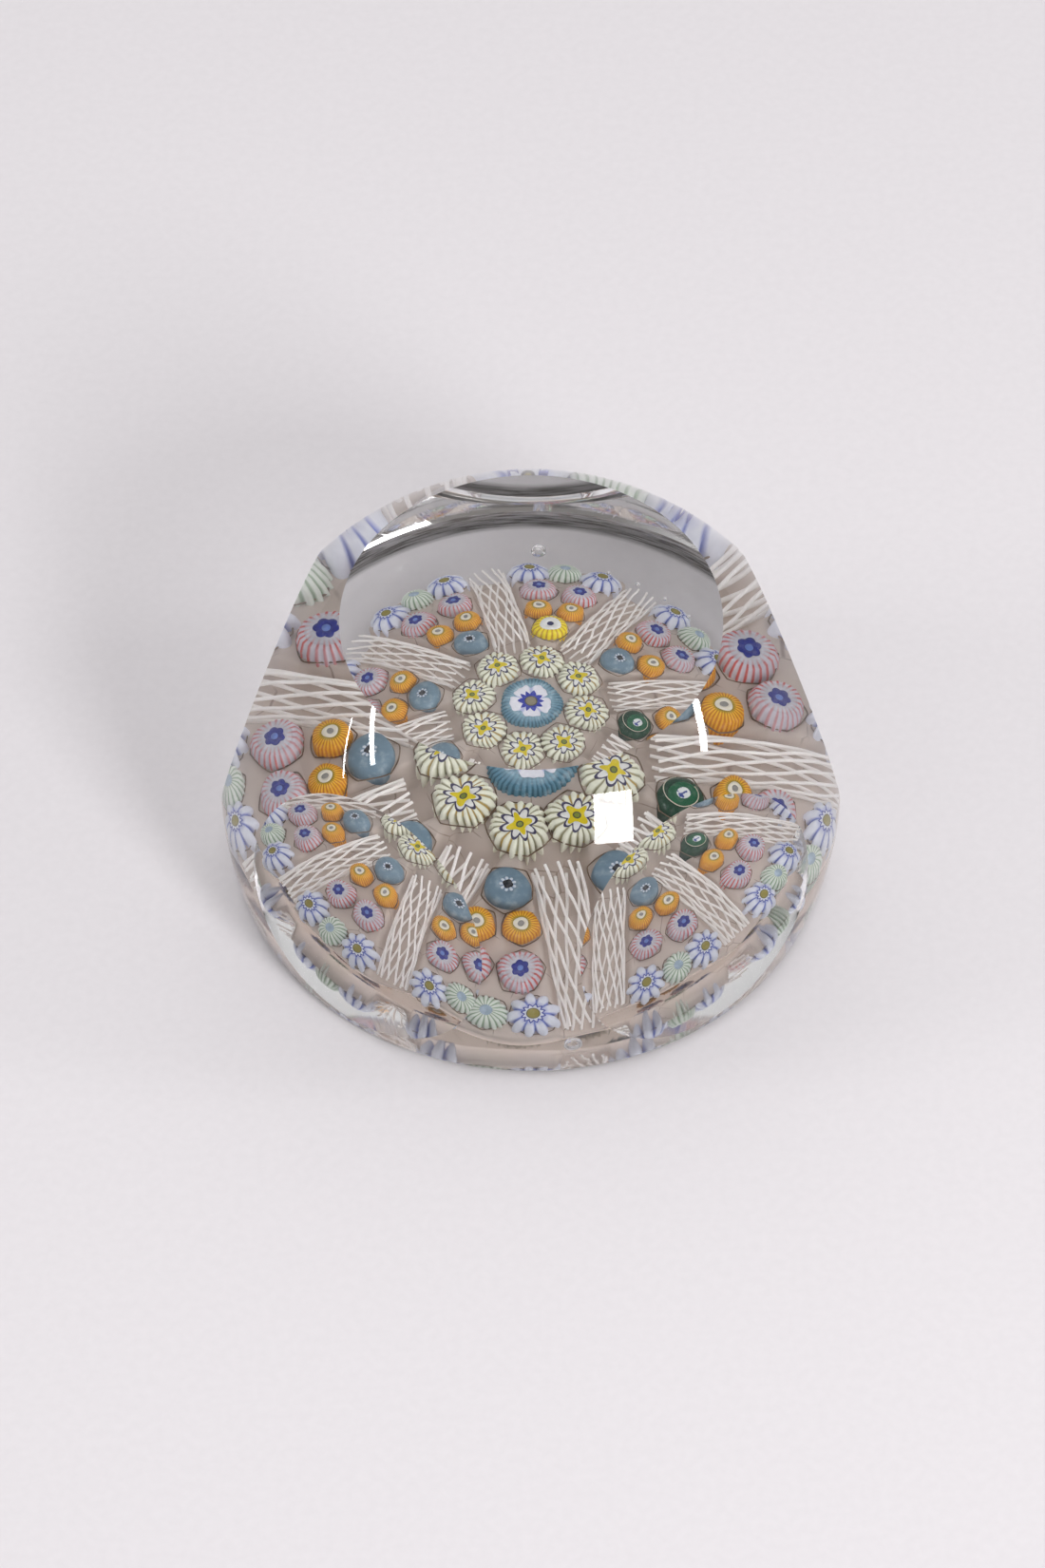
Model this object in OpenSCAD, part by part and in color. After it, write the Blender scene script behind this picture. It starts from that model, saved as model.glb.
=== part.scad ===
// Faceted glass paperweight with a domed set-up of millefiori canes:
// one cane in the middle, a ring round it, and panels of canes between
// twisted lattice rods, all sealed between two gathers of clear glass.
// The base is the plane z = 0 and the ball's axis is the Z axis.

/* [Ball] */
// Diameter of the clear ball before it is cut
ball_d = 72; // [60:1:90]
// Height of the ball's centre above the flat base
centre_h = 10.5; // [8:0.1:16]
// Width of the small chamfer ground round the base
foot_chamfer = 0.5; // [0.2:0.1:1]

/* [Facets] */
// Diameter of the round facet on top
top_facet_d = 43.2; // [30:0.2:54]
// Diameter of each round facet on the side
side_facet_d = 31.8; // [20:0.2:40]
// Number of side facets
side_facets = 5; // [3:1:5]
// Upward tilt of the side facets
side_tilt = 12.7; // [0:0.1:20]

/* [Set-up] */
// Radius of the domed surface that the cane tops form
dome_r = 38.7; // [32:0.1:60]
// Length of every upright cane
cane_len = 4.2; // [3:0.1:7]
// Clear glass between the cane tops and the seam of the two gathers
top_cover = 0.3; // [0.1:0.1:1]
// Clear glass between the lowest cane and the base
base_cover = 0.8; // [0.5:0.1:3]
// Number of panels, and of lattice rods between them
panels = 8; // [6:1:9]
// Direction of the first panel, from +X towards +Y
first_turn = 80; // [0:1:359]
// How far a cane may stand off its true place
drift_len = 0.15; // [0:0.01:0.2]
// Gap left between one row of canes and the next
row_gap = 0.35; // [0.3:0.05:1]
// Gap between the middle cane and the ring of canes
ring_gap = 0.85; // [0.4:0.05:2]
// Gap between the ring and the first cane of each panel
panel_gap = 1.6; // [0.4:0.05:4]
// Gap between the two canes of a pair
pair_gap = 1.05; // [0.5:0.05:2]
// Least gap between neighbours in the ring and in the outer row
side_gap = 0.5; // [0.4:0.05:1]

/* [Canes] */
// Diameter of the middle cane
centre_d = 7.1; // [5:0.1:9]
// Diameter of a ruffled ring cane in its clear casing
ring_d = 4.6; // [3.6:0.1:6]
// Diameter of the single inner cane of a panel
inner_d = 3.8; // [3:0.1:5]
// Diameter of an orange cane
orange_d = 3; // [2.4:0.1:4]
// Diameter of a pink and blue cane in its clear casing
pink_d = 3.9; // [3:0.1:5]
// Diameter of a flower cane in its clear casing
flower_d = 4; // [3:0.1:5]
// Diameter of a pale ribbed cane in its clear casing
pale_d = 3.6; // [3:0.1:5]
// Wall of the clear casing round a cane
casing_wall = 0.15; // [0.1:0.05:0.3]

/* [Lattice rods] */
// Diameter of a clear lattice rod
rod_d = 4.1; // [3:0.1:5.5]
// Gap between the ring of canes and the inner end of a rod
rod_gap = 0.35; // [0.3:0.05:3]

/* [Bubbles] */
// Diameter of the two large air bubbles
bubble_d = 1.5; // [0.6:0.1:2]
// Diameter of the four pin bubbles
pin_d = 0.5; // [0.3:0.1:0.8]

/* [Hidden] */
$fn = 64;

// Forms of the layers, see ruffle() and star() below
white_cog_form = [8, 0.68, 0.86];
blue_cog_form = [10, 0.38, 0.55];
ring_edge_form = [20, 0.93, 1];
ring_line_form = [12, 0.52, 0.68];
ring_star_form = [12, 0.44, 0.6];
ring_heart_form = [6, 0.22, 0.4];
pink_edge_form = [22, 0.94, 1];
pink_body_form = [22, 0.74, 0.86];
pink_cog_form = [6, 0.36, 0.46];
flower_edge_form = [9, 0.8, 1];
flower_line_form = [12, 0.5, 0.68];
pale_edge_form = [18, 0.93, 1];
// Radii of the round layers, as shares of the cane or of the room in it
centre_core_share = 0.24;
inner_ring_share = 0.36;
inner_core_share = 0.22;
inner_disc_share = 0.62;
orange_ring_share = 0.38;
orange_core_share = 0.16;
pink_core_share = 0.18;
flower_core_share = 0.36;
pale_core_share = 0.3;

ball_r = ball_d / 2;
step = 360 / panels;
top_d = top_drop(top_facet_d);
side_d = top_drop(side_facet_d);
top_h = centre_h + top_d;

// The canes' axes all point at one centre below the base, so a cane narrows
// downwards by the same share as the distances between the canes.
squeeze = (dome_r - cane_len) / dome_r;

// Room that a cane needs beside a rod, allowing for the squeeze at its depth
rod_need = rod_d / 2 / (1 - (top_cover + rod_d / 2) / dome_r) + row_gap;

// Rows, from the middle outwards
ring_row = max(beyond(0, centre_d, ring_d, ring_gap), abreast(ring_d, side_gap));
inner_row = max(beyond(ring_row, ring_d, inner_d, panel_gap), single_fit(inner_d));
orange_row = max(beyond(inner_row, inner_d, orange_d, row_gap - 2 * drift_len), pair_fit(orange_d));
pink_row = max(beyond(orange_row, orange_d, pink_d, row_gap), pair_fit(pink_d));
outer_row = beyond(pink_row, pink_d, max(flower_d, pale_d), row_gap);
outer_turn = apart(outer_row, (flower_d + pale_d) / 2 + side_gap);

// The lowest cane stands base_cover above the base
outer_tilt = asin(outer_row / dome_r);
dome_z = base_cover + flower_d / 2 * squeeze * sin(outer_tilt)
       - (dome_r - cane_len) * cos(outer_tilt);
seam_r = dome_r + top_cover;

// A lattice rod lies just under the dome and runs out to the same depth
rod_path_r = dome_r - top_cover - rod_d / 2;
rod_start = asin((ring_row + ring_d / 2 + rod_gap) / rod_path_r);
rod_end = acos((base_cover - dome_z) / (rod_path_r - rod_d / 2));

function top_drop(d) = sqrt(ball_r * ball_r - d * d / 4);
function beyond(row, d1, d2, gap) = row + (d1 + d2) / 2 + gap;
function abreast(d, gap) = (d + gap) / 2 / sin(step / 2);
function apart(row, gap) = 2 * asin(gap / 2 / row);

function single_fit(d) = (d / 2 + rod_need) / sin(step / 2);
function pair_half(d) = (d + pair_gap) / 2;
function pair_fit(d) = norm([pair_half(d),
    (d / 2 + rod_need + pair_half(d) * cos(step / 2)) / sin(step / 2)]);
function pair_turn(row, d) = asin(pair_half(d) / row);

// Small settling of each cane, the same on every build. The steps are angles
// that never line up, so that no two canes settle or turn alike.
drift_step = 137.5;
salt_step = 71;
own_turn_step = 77;
function drift(k, salt) = drift_len * sin(k * drift_step + salt * salt_step);
function spot(row, turn, k) =
    [row + drift(k, 1), turn + drift(k, 2) / row * 180 / PI, k * own_turn_step];

// Places of the canes: distance from the axis, direction, and own turn. The
// salt is the row's own number, so that no two rows settle alike.
function row_spots(row, turns, salt) =
    [for (p = [0:panels - 1]) for (i = [0:len(turns) - 1])
        spot(row, first_turn + p * step + turns[i], p * len(turns) + i + salt)];
ring_spots = row_spots(ring_row, [0], 1);
inner_spots = row_spots(inner_row, [0], 11);
orange_spots = row_spots(orange_row, [-1, 1] * pair_turn(orange_row, orange_d), 21);
pink_spots = row_spots(pink_row, [-1, 1] * pair_turn(pink_row, pink_d), 41);
flower_spots = row_spots(outer_row, [-1, 1] * outer_turn, 61);
pale_spots = row_spots(outer_row, [0], 81);
yellow_panel = 0;
green_panel = min(6, panels - 1);
yellow_spots = [inner_spots[yellow_panel]];
green_spots = [inner_spots[green_panel]];
slate_spots = [for (p = [0:panels - 1])
    if (p != yellow_panel && p != green_panel) inner_spots[p]];

// Radius that straight inner layers may have inside a casing
function room(d) = (d / 2) * squeeze - casing_wall;

// A layer's form is [lobes, lowest radius, highest radius], with the radii as
// shares of the room in its cane.
// Outline whose radius swings softly between the two, once for each lobe
function ruffle(form, r) = let (n = form[0], low = form[1] * r, high = form[2] * r)
    [for (i = [0:4 * n - 1])
        ((low + high) / 2 + (high - low) / 2 * cos(i * 90))
        * [cos(i * 90 / n), sin(i * 90 / n)]];
// Star with one straight-sided point for each lobe
function star(form, r) = let (n = form[0], low = form[1] * r, high = form[2] * r)
    [for (i = [0:2 * n - 1])
        (i % 2 == 0 ? high : low) * [cos(i * 180 / n), sin(i * 180 / n)]];

// Stands the children at each spot, upright on the dome, tops at z = 0
module at(spots) {
    for (s = spots)
        rotate([0, 0, s[1]])
            translate([0, 0, dome_z])
                rotate([0, asin(s[0] / dome_r), 0])
                    translate([0, 0, dome_r])
                        rotate([0, 0, s[2]]) children();
}

// Cone that fills a cane's whole space
module cane(d) {
    translate([0, 0, -cane_len])
        cylinder(h = cane_len, r1 = d / 2 * squeeze, r2 = d / 2);
}

// Straight bar of an outline, through the whole cane
module bar(points) {
    translate([0, 0, -cane_len]) linear_extrude(cane_len) polygon(points);
}

module core_bar(r) {
    translate([0, 0, -cane_len]) cylinder(h = cane_len, r = r);
}

// Straight tube between two outlines
module sleeve(outer, inner) {
    translate([0, 0, -cane_len]) linear_extrude(cane_len) difference() {
        polygon(outer);
        polygon(inner);
    }
}

module cased(d, points) {
    difference() {
        cane(d);
        bar(points);
    }
}

module cored(d, r) {
    difference() {
        cane(d);
        core_bar(r);
    }
}

module ring_tube(r_out, r_in) {
    difference() {
        core_bar(r_out);
        core_bar(r_in);
    }
}

// Half-space cut that leaves a round facet at distance d from the centre
module facet_cut(d) {
    translate([0, 0, d]) cylinder(h = ball_d, r = ball_d);
}

module cut_ball() {
    difference() {
        translate([0, 0, centre_h]) difference() {
            sphere(ball_r);
            facet_cut(top_d);
            for (i = [0:side_facets - 1])
                rotate([0, 0, 90 + i * 360 / side_facets])
                    rotate([0, 90 - side_tilt, 0]) facet_cut(side_d);
        }
        translate([0, 0, -ball_d]) cylinder(h = ball_d, r = ball_d);
        foot_ring();
    }
}

// Chamfer tool: a ring outside a 45 degree cone at the base's edge
module foot_ring() {
    foot_r = sqrt(ball_r * ball_r - centre_h * centre_h) - foot_chamfer;
    rotate_extrude()
        polygon([[foot_r, 0], [foot_r + 3 * foot_chamfer, 3 * foot_chamfer],
                 [foot_r + 6 * foot_chamfer, -foot_chamfer], [foot_r, -foot_chamfer]]);
}

// Ball of the first gather, cut off by the base
module ground_space() {
    difference() {
        translate([0, 0, dome_z]) sphere(seam_r);
        translate([0, 0, -2 * seam_r]) cylinder(h = 2 * seam_r, r = 2 * seam_r);
    }
}

module lattice_paths() {
    for (p = [0:panels - 1])
        rotate([0, 0, first_turn + (p + 0.5) * step])
            translate([0, 0, dome_z])
                rotate([90, 0, 0])
                    rotate([0, 0, 90 - rod_end])
                        rotate_extrude(angle = rod_end - rod_start)
                            translate([rod_path_r, 0]) circle(d = rod_d);
}

// Air bubble against the seam: angle from the axis, direction, diameter
module bubble(tilt, turn, d) {
    rotate([0, 0, turn])
        translate([0, 0, dome_z])
            rotate([0, tilt, 0])
                translate([0, 0, seam_r + d / 2 + top_cover]) sphere(d = d);
}

module bubbles() {
    front_turn = -81.5;
    back_turn = 88;
    pin_turn = 41;
    pin_step = 9;
    bubble(rod_end + 4, front_turn, bubble_d);
    bubble(rod_end, back_turn, bubble_d);
    for (i = [0:3]) bubble(rod_end - 3, pin_turn + i * pin_step, pin_d);
}

module clear_dome() {
    color("aliceblue", 0.3) difference() {
        cut_ball();
        ground_space();
        bubbles();
    }
}

module ground_gather() {
    color("azure", 0.3) difference() {
        intersection() {
            ground_space();
            cut_ball();
        }
        at([[0, 0, 0]]) cane(centre_d);
        at(ring_spots) cane(ring_d);
        at(inner_spots) cane(inner_d);
        at(orange_spots) cane(orange_d);
        at(pink_spots) cane(pink_d);
        at(flower_spots) cane(flower_d);
        at(pale_spots) cane(pale_d);
        lattice_paths();
    }
}

// Middle cane: teal casing, white cog, royal blue cog, taupe core
centre_white = ruffle(white_cog_form, room(centre_d));
centre_blue = star(blue_cog_form, room(centre_d));
centre_core_r = room(centre_d) * centre_core_share;

module centre_casing() {
    color("steelblue") at([[0, 0, 0]]) cased(centre_d, centre_white);
}

module centre_white_cog() {
    color("lavender") at([[0, 0, 0]]) sleeve(centre_white, centre_blue);
}

module centre_blue_cog() {
    color("royalblue") at([[0, 0, 0]]) difference() {
        bar(centre_blue);
        core_bar(centre_core_r);
    }
}

module centre_core() {
    color("gray") at([[0, 0, 0]]) core_bar(centre_core_r);
}

// Ring canes: cream ribs round a dark star outline, a white star, a yellow heart
ring_edge = ruffle(ring_edge_form, room(ring_d));
ring_line = star(ring_line_form, room(ring_d));
ring_star = star(ring_star_form, room(ring_d));
ring_heart = star(ring_heart_form, room(ring_d));

module ring_casings() {
    color("whitesmoke", 0.3) at(ring_spots) cased(ring_d, ring_edge);
}

module ring_ribs() {
    color("beige") at(ring_spots) sleeve(ring_edge, ring_line);
}

module ring_outlines() {
    color("darkslateblue") at(ring_spots) sleeve(ring_line, ring_star);
}

module ring_stars() {
    color("white") at(ring_spots) sleeve(ring_star, ring_heart);
}

module ring_hearts() {
    color("gold") at(ring_spots) bar(ring_heart);
}

// Inner canes: slate, with one yellow and one green among them
inner_ring_r = inner_d / 2 * inner_ring_share;
inner_core_r = inner_d / 2 * inner_core_share;
inner_disc_r = inner_d / 2 * inner_disc_share;

module slate_bodies() {
    color("slategray") at(slate_spots) cored(inner_d, inner_ring_r);
}

module slate_rings() {
    color("lightsteelblue") at(slate_spots) ring_tube(inner_ring_r, inner_core_r);
}

module slate_cores() {
    color("black") at(slate_spots) core_bar(inner_core_r);
}

module yellow_body() {
    color("yellow") at(yellow_spots) cored(inner_d, inner_disc_r);
}

module yellow_disc() {
    color("white") at(yellow_spots) ring_tube(inner_disc_r, inner_core_r);
}

module yellow_dot() {
    color("navy") at(yellow_spots) core_bar(inner_core_r);
}

module green_body() {
    color("darkgreen") at(green_spots) cored(inner_d, inner_disc_r);
}

module green_cap() {
    color("seagreen") at(green_spots) ring_tube(inner_disc_r, inner_ring_r);
}

module green_core() {
    color("white") at(green_spots) core_bar(inner_ring_r);
}

// Orange canes: amber body, white ring, grey core
orange_ring_r = orange_d / 2 * orange_ring_share;
orange_core_r = orange_d / 2 * orange_core_share;

module orange_bodies() {
    color("orange") at(orange_spots) cored(orange_d, orange_ring_r);
}

module orange_rings() {
    color("linen") at(orange_spots) ring_tube(orange_ring_r, orange_core_r);
}

module orange_cores() {
    color("darkgray") at(orange_spots) core_bar(orange_core_r);
}

// Pink canes: red ribs on a lilac body, deep blue cog, pale blue core
pink_edge = star(pink_edge_form, room(pink_d));
pink_body = star(pink_body_form, room(pink_d));
pink_cog = ruffle(pink_cog_form, room(pink_d));
pink_core_r = room(pink_d) * pink_core_share;

module pink_casings() {
    color("whitesmoke", 0.3) at(pink_spots) cased(pink_d, pink_edge);
}

module pink_ribs() {
    color("indianred") at(pink_spots) sleeve(pink_edge, pink_body);
}

module pink_bodies() {
    color("thistle") at(pink_spots) sleeve(pink_body, pink_cog);
}

module pink_cogs() {
    color("midnightblue") at(pink_spots) difference() {
        bar(pink_cog);
        core_bar(pink_core_r);
    }
}

module pink_cores() {
    color("cornflowerblue") at(pink_spots) core_bar(pink_core_r);
}

// Flower canes: white petals, blue zigzag line, olive core
flower_edge = ruffle(flower_edge_form, room(flower_d));
flower_line = star(flower_line_form, room(flower_d));
flower_core_r = room(flower_d) * flower_core_share;

module flower_casings() {
    color("whitesmoke", 0.3) at(flower_spots) cased(flower_d, flower_edge);
}

module flower_petals() {
    color("lavender") at(flower_spots) sleeve(flower_edge, flower_line);
}

module flower_outlines() {
    color("mediumblue") at(flower_spots) difference() {
        bar(flower_line);
        core_bar(flower_core_r);
    }
}

module flower_cores() {
    color("olive") at(flower_spots) core_bar(flower_core_r);
}

// Pale canes: mint ribs round a pale blue core
pale_edge = ruffle(pale_edge_form, room(pale_d));
pale_core_r = room(pale_d) * pale_core_share;

module pale_casings() {
    color("whitesmoke", 0.3) at(pale_spots) cased(pale_d, pale_edge);
}

module pale_ribs() {
    color("honeydew") at(pale_spots) difference() {
        bar(pale_edge);
        core_bar(pale_core_r);
    }
}

module pale_cores() {
    color("lightblue") at(pale_spots) core_bar(pale_core_r);
}

module lattice_rods() {
    color("snow") lattice_paths();
}

clear_dome();
ground_gather();
centre_casing();
centre_white_cog();
centre_blue_cog();
centre_core();
ring_casings();
ring_ribs();
ring_outlines();
ring_stars();
ring_hearts();
slate_bodies();
slate_rings();
slate_cores();
yellow_body();
yellow_disc();
yellow_dot();
green_body();
green_cap();
green_core();
orange_bodies();
orange_rings();
orange_cores();
pink_casings();
pink_ribs();
pink_bodies();
pink_cogs();
pink_cores();
flower_casings();
flower_petals();
flower_outlines();
flower_cores();
pale_casings();
pale_ribs();
pale_cores();
lattice_rods();
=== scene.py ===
from math import asin, cos, degrees, pi, radians, sin, sqrt

import bmesh
import bpy
import numpy as np
from mathutils import Matrix, Vector


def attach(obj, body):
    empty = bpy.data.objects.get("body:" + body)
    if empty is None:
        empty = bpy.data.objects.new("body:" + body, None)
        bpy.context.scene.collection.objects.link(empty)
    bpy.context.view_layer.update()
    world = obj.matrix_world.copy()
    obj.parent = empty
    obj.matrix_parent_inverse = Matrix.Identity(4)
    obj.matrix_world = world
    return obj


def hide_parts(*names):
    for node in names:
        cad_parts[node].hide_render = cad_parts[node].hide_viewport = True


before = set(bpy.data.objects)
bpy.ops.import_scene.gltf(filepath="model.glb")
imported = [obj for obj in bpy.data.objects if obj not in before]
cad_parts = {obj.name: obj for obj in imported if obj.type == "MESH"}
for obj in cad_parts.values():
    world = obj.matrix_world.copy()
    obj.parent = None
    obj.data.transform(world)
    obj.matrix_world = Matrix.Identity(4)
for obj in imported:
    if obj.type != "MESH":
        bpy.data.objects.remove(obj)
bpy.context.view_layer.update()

mm = 0.001


# ---- The tabletop, the daylight and the camera ----
# The weight lies on a smooth sheet of pale, faintly pink card. It is lit by a
# bright white room with a dim side behind the viewer, a window-like softbox at
# the front right and three narrow panels, which show as crisp shapes on the polish.

class Wire:
    """A value on its way through a node tree. A sum on it adds the Math node."""

    def __init__(self, board, socket):
        self.board, self.socket = board, socket

    def math(self, operation, *values):
        return self.board.add("ShaderNodeMath", {"operation": operation},
                              dict(enumerate(values)))

    def __add__(self, other):
        return self.math("ADD", self, other)

    def __radd__(self, other):
        return self.math("ADD", other, self)

    def __sub__(self, other):
        return self.math("SUBTRACT", self, other)

    def __rsub__(self, other):
        return self.math("SUBTRACT", other, self)

    def __mul__(self, other):
        return self.math("MULTIPLY", self, other)

    def __rmul__(self, other):
        return self.math("MULTIPLY", other, self)

    def __truediv__(self, other):
        return self.math("DIVIDE", self, other)

    def __rtruediv__(self, other):
        return self.math("DIVIDE", other, self)

    def __pow__(self, other):
        return self.math("POWER", self, other)

    def clip(self):
        """The value, kept from 0 to 1."""
        return self.math("MINIMUM", self.math("MAXIMUM", self, 0.0), 1.0)

    def above(self, low, high):
        """0 below low, 1 above high, and a straight rise between them."""
        return ((self - low) / (high - low)).clip()


class Board:
    """A node tree being wired, of a finish or of a shape."""

    def __init__(self, tree):
        self.tree = tree

    def add(self, kind, settings=None, sockets=None, out=0):
        """Adds a node, makes its settings, fills its sockets and gives one output."""
        node = self.tree.nodes.new(kind)
        for key, value in (settings or {}).items():
            setattr(node, key, value)
        for key, value in (sockets or {}).items():
            if isinstance(value, Wire):
                self.tree.links.new(value.socket, node.inputs[key])
            else:
                node.inputs[key].default_value = value
        return Wire(self, node.outputs[out]) if len(node.outputs) else None

    def mix(self, factor, first, second):
        """Colour between first, at factor 0, and second, at factor 1."""
        return self.add("ShaderNodeMix", {"data_type": "RGBA"},
                        {0: factor, 6: first, 7: second}, out=2)

    def noise(self, scale, detail=2.0, roughness=0.5):
        """Cloudy noise fixed to the piece; scale is clouds to a metre."""
        place = self.add("ShaderNodeTexCoord", out="Object")
        return self.add("ShaderNodeTexNoise", None,
                        {"Vector": place, "Scale": scale, "Detail": detail,
                         "Roughness": roughness})

    def attribute(self, name):
        """A value that is stored on the points of the piece's mesh."""
        return self.add("ShaderNodeAttribute", {"attribute_name": name}, out="Fac")

    def bump(self, height, distance, strength=1.0):
        """Relief from a height of 0 to 1, raised by distance metres."""
        return self.add("ShaderNodeBump", None,
                        {"Height": height, "Distance": distance, "Strength": strength})


def tint(red, green, blue):
    """Linear colour from the 0 to 255 steps that paint charts give."""
    steps = [c / 255 for c in (red, green, blue)]
    return (*[c / 12.92 if c <= 0.04045 else ((c + 0.055) / 1.055) ** 2.4
              for c in steps], 1.0)


def finish(name):
    """A new material with an empty board."""
    material = bpy.data.materials.new(name)
    material.use_nodes = True
    material.node_tree.nodes.clear()
    return material, Board(material.node_tree)


def surface(board, **sockets):
    """The board's shader. An underscore in a socket's name stands for a space."""
    shader = board.add("ShaderNodeBsdfPrincipled", None,
                       {key.replace("_", " "): value for key, value in sockets.items()})
    board.add("ShaderNodeOutputMaterial", None, {"Surface": shader})


def piece(name, mesh, material, body="root", stands_for=()):
    """Puts a finished mesh in the scene, on its body, in place of its CAD nodes."""
    mesh.materials.clear()
    mesh.materials.append(material)
    made = bpy.data.objects.new(name, mesh)
    bpy.context.scene.collection.objects.link(made)
    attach(made, body)
    if stands_for:
        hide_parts(*stands_for)
    return made


card_size = 4.0
card_drop = 0.03 * mm
card_paint, board = finish("pale_card")
fibres = board.noise(900.0, 3.0)
surface(board, Base_Color=board.mix(fibres.above(0.3, 0.7), tint(226, 222, 225),
                                    tint(229, 225, 228)),
        Roughness=0.75, Specular_IOR_Level=0.2,
        Normal=board.bump(fibres, 0.02 * mm, 0.3))
half = card_size / 2
card_mesh = bpy.data.meshes.new("tabletop")
card_mesh.from_pydata([(-half, -half, -card_drop), (half, -half, -card_drop),
                       (half, half, -card_drop), (-half, half, -card_drop)],
                      [], [(0, 1, 2, 3)])
card_mesh.materials.append(card_paint)
card = bpy.data.objects.new("tabletop", card_mesh)
bpy.context.scene.collection.objects.link(card)

ball_r = 36 * mm
centre_h = 10.5 * mm
ball_centre = Vector((0, 0, centre_h))


def softbox(name, azimuth, elevation, width, height, radiance, roll=0.0, distance=1.0):
    """A flat lamp that faces the weight. Azimuth 0 is behind it and 90 at its right."""
    a, e = radians(azimuth), radians(elevation)
    towards = Vector((sin(a) * cos(e), cos(a) * cos(e), sin(e)))
    lamp = bpy.data.lights.new(name, "AREA")
    lamp.shape, lamp.size, lamp.size_y = "RECTANGLE", width, height
    lamp.energy = radiance * pi * width * height
    stand = bpy.data.objects.new(name, lamp)
    turned = towards.to_track_quat("Z", "Y").to_matrix().to_4x4()
    stand.matrix_world = (Matrix.Translation(ball_centre + towards * distance)
                          @ turned @ Matrix.Rotation(radians(roll), 4, "Z"))
    stand.visible_camera = False
    bpy.context.scene.collection.objects.link(stand)


softbox("window_front_right", 145, 31, 0.25, 0.31, 19, roll=-20)
softbox("window_right", 91.3, 28.4, 0.28, 0.055, 24, roll=32)
softbox("panel_left_high", -97.5, 31.0, 0.33, 0.034, 26, roll=-25)
softbox("panel_left_low", -94.5, 20.2, 0.31, 0.013, 26, roll=-39)

low_room, high_room = (0.34, 0.337, 0.34, 1), (1.06, 1.055, 1.06, 1)
dim_side, dim_side_up, dim_share = (0.10, 0.085, 0.075, 1), radians(30), 0.85
world = bpy.data.worlds.new("white_room")
world.use_nodes = True
world.node_tree.nodes.clear()
sky = Board(world.node_tree)
looking = sky.add("ShaderNodeTexCoord", out="Generated")
sky_up = sky.add("ShaderNodeSeparateXYZ", None, {0: looking}, out=2)
glow = sky.mix(sky_up.above(0.2, 1.0), low_room, high_room)
to_viewer = sky.add("ShaderNodeVectorMath", {"operation": "DOT_PRODUCT"},
                    {0: looking, 1: (0, -cos(dim_side_up), sin(dim_side_up))}, out="Value")
glow = sky.mix(to_viewer.above(0.80, 0.95) * dim_share, glow, dim_side)
sky.add("ShaderNodeOutputWorld", None,
        {"Surface": sky.add("ShaderNodeBackground", None,
                            {"Color": glow, "Strength": 1.0})})
bpy.context.scene.world = world
bpy.context.scene.view_settings.view_transform = "Standard"
bpy.context.scene.cycles.max_bounces = 24
bpy.context.scene.cycles.transmission_bounces = 24
bpy.context.scene.cycles.glossy_bounces = 8
bpy.context.scene.cycles.sample_clamp_indirect = 6.0

view_elevation = radians(51.556)
view_distance = 700.7 * mm
aside, down = 0.97 * mm, 0.58 * mm
lens = bpy.data.cameras.new("camera")
lens.sensor_width = 36
lens.lens = 138.5
lens.clip_start, lens.clip_end = 0.05, 20
camera = bpy.data.objects.new("camera", lens)
back = Vector((0, -cos(view_elevation), sin(view_elevation)))
upwards = Vector((0, sin(view_elevation), cos(view_elevation)))
camera.location = (ball_centre + back * view_distance - Vector((aside, 0, 0))
                   - upwards * down)
camera.rotation_euler = (pi / 2 - view_elevation, 0, 0)
bpy.context.scene.collection.objects.link(camera)
bpy.context.scene.camera = camera


# ---- The clear crystal ball ----
# One fused body of lead crystal from two gathers, so the seam between them
# doesn't show. It is cut with a round facet on top and five on the side,
# ground flat below, and holds two air bubbles and four pin bubbles.

dome_r = 38.7 * mm
dome_z = -25.117 * mm
seam_gap = 0.3 * mm
seam_r = dome_r + seam_gap
top_facet_d = 43.2 * mm
side_facet_d = 31.8 * mm
side_facets = 5
side_tilt = radians(12.7)
foot_chamfer = 0.5 * mm
rod_end_tilt = 40.9
bubble_gap = 0.3 * mm
# tilt from the axis, direction and diameter of each large bubble
large_bubbles = ((rod_end_tilt + 4.6, -81.5, 2.0 * mm), (rod_end_tilt, 88, 1.8 * mm))
pin_bubbles, pin_tilt, pin_turn, pin_step, pin_d = 4, rod_end_tilt - 3, 41, 9, 0.5 * mm

form = bmesh.new()
round_face, flat_face, chamfer_face, bubble_face = range(4)
kind = form.faces.layers.int.new("kind")
bmesh.ops.create_uvsphere(form, u_segments=320, v_segments=160, radius=ball_r,
                          matrix=Matrix.Translation(ball_centre))
facets = [(Vector((0, 0, 1)), sqrt(ball_r ** 2 - top_facet_d ** 2 / 4))]
for i in range(side_facets):
    turn = pi / 2 + 2 * pi * i / side_facets
    facets.append((Vector((cos(turn) * cos(side_tilt), sin(turn) * cos(side_tilt),
                           sin(side_tilt))), sqrt(ball_r ** 2 - side_facet_d ** 2 / 4)))
foot_r = sqrt(ball_r ** 2 - centre_h ** 2) - foot_chamfer
# height at which the 45 degree chamfer meets the ball
foot_h = ((centre_h - foot_r) + sqrt((centre_h - foot_r) ** 2
          - 2 * (foot_r ** 2 + centre_h ** 2 - ball_r ** 2))) / 2


def cut(plane_point, plane_normal):
    """Cuts away what lies beyond a plane and gives the edges of the cut."""
    geometry = form.verts[:] + form.edges[:] + form.faces[:]
    done = bmesh.ops.bisect_plane(form, geom=geometry, dist=1e-8, plane_co=plane_point,
                                  plane_no=plane_normal, clear_outer=True)
    return [e for e in done["geom_cut"] if isinstance(e, bmesh.types.BMEdge)]


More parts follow.
